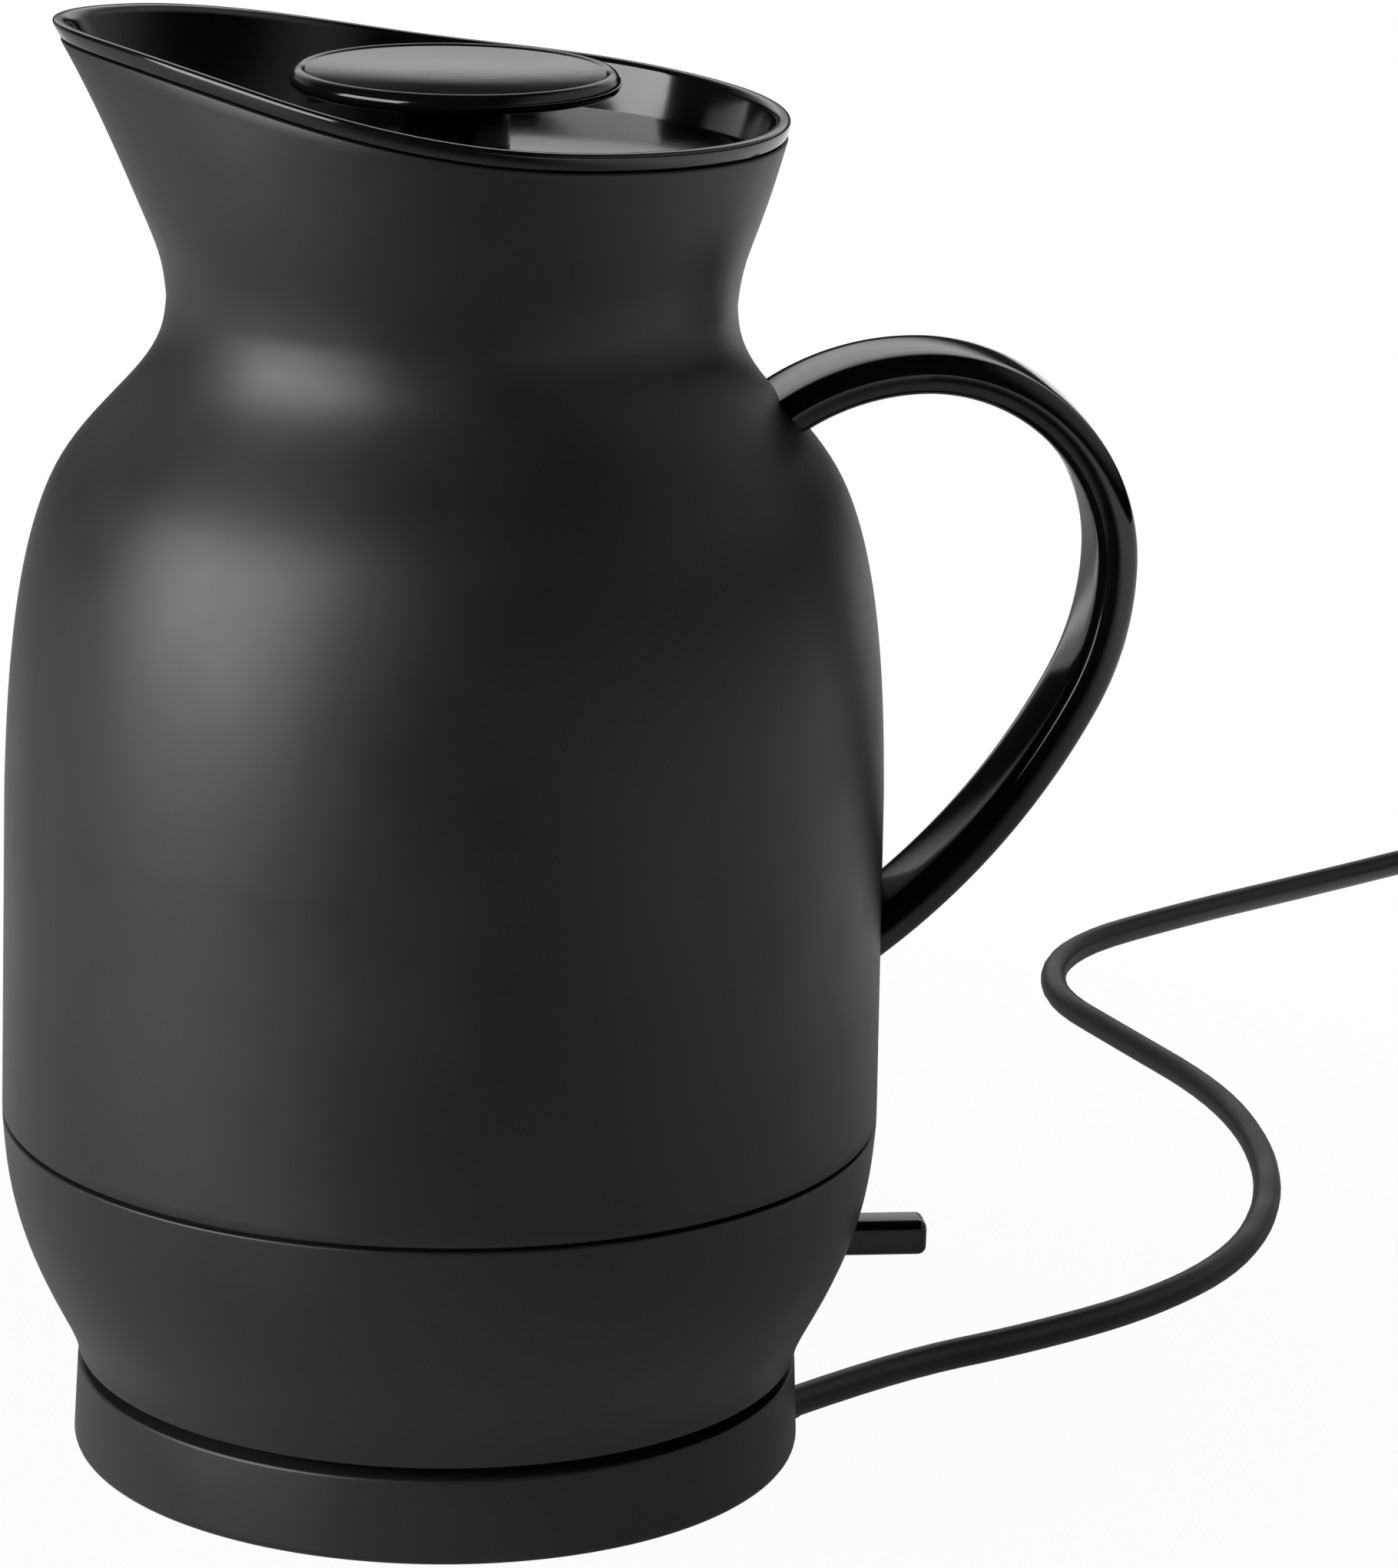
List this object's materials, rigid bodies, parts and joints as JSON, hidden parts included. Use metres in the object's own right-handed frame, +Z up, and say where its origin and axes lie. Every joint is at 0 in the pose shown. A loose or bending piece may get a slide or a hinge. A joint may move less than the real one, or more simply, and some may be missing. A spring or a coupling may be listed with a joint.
{
  "type": "electric jug kettle",
  "caption": "Cordless electric jug kettle with a wide slanted spout, ear handle, lift-out lid and switch lever, standing on a round power base with a mains cord.",
  "frame": {"origin": "centre of the power base on the table, on the kettle's round axis", "axes": "+Z up along the kettle's axis, +X towards the handle, -X towards the spout"},
  "size_m": [0.4569, 0.4319, 0.2478],
  "materials": {
    "jug_paint": "matte black soft paint on steel",
    "matte_housing": "matte black moulded plastic",
    "gloss_black": "polished black plastic",
    "inner_plastic": "fine-grained dark plastic",
    "soft_rubber": "soft silicone",
    "steel": "brushed stainless",
    "contact_brass": "satin brass",
    "cord_sheath": "satin black flexible sheath"
  },
  "bodies": {
    "power_base": {"base_shell": "matte_housing", "base_bottom_cover": "inner_plastic", "base_feet": "soft_rubber", "base_screws": "steel", "base_socket": "inner_plastic", "base_contact_strips": "contact_brass", "base_wires": "cord_sheath", "cord_clamp": "inner_plastic", "cord_clamp_screws": "steel", "cord_strain_relief": "cord_sheath", "cord": "cord_sheath", "cord_coil": "cord_sheath", "cord_tie": "cord_sheath", "plug_body": "cord_sheath", "plug_pins": "contact_brass"},
    "coupler": {"kettle_connector": "inner_plastic", "connector_pin": "contact_brass", "connector_ring": "contact_brass"},
    "kettle": {"upper_shell": "jug_paint", "lower_housing": "matte_housing", "bottom_cover": "inner_plastic", "bottom_screws": "steel", "control_unit": "inner_plastic", "lever_bracket": "inner_plastic", "heating_plate": "steel", "plate_seal": "soft_rubber", "plate_clamp": "steel", "heating_element": "steel", "steam_tube": "steel", "handle": "gloss_black", "handle_screws": "steel", "handle_seals": "soft_rubber", "pour_funnel": "gloss_black", "funnel_seal": "soft_rubber"},
    "lid": {"lid_plate": "gloss_black", "lid_inner_cover": "inner_plastic", "lid_gasket": "soft_rubber", "lid_stem": "gloss_black", "lid_knob": "gloss_black", "lid_screw": "steel"},
    "lever": {"switch_lever": "gloss_black", "lever_pin": "steel"}
  },
  "joints": [
    {"name": "kettle_lift", "type": "slide", "parent": "power_base", "child": "coupler", "axis": [0, 0, 1], "range_m": [0, 0.12]},
    {"name": "kettle_turn", "type": "hinge", "parent": "coupler", "child": "kettle", "pos_m": [0, 0, 0.027], "axis": [0, 0, 1], "continuous": true},
    {"name": "lid_lift", "type": "slide", "parent": "kettle", "child": "lid", "axis": [0, 0, 1], "range_m": [0, 0.06]},
    {"name": "switch_press", "type": "hinge", "parent": "kettle", "child": "lever", "pos_m": [0.052, 0, 0.0352], "axis": [0, 1, 0], "range_deg": [0, 8]}
  ]
}
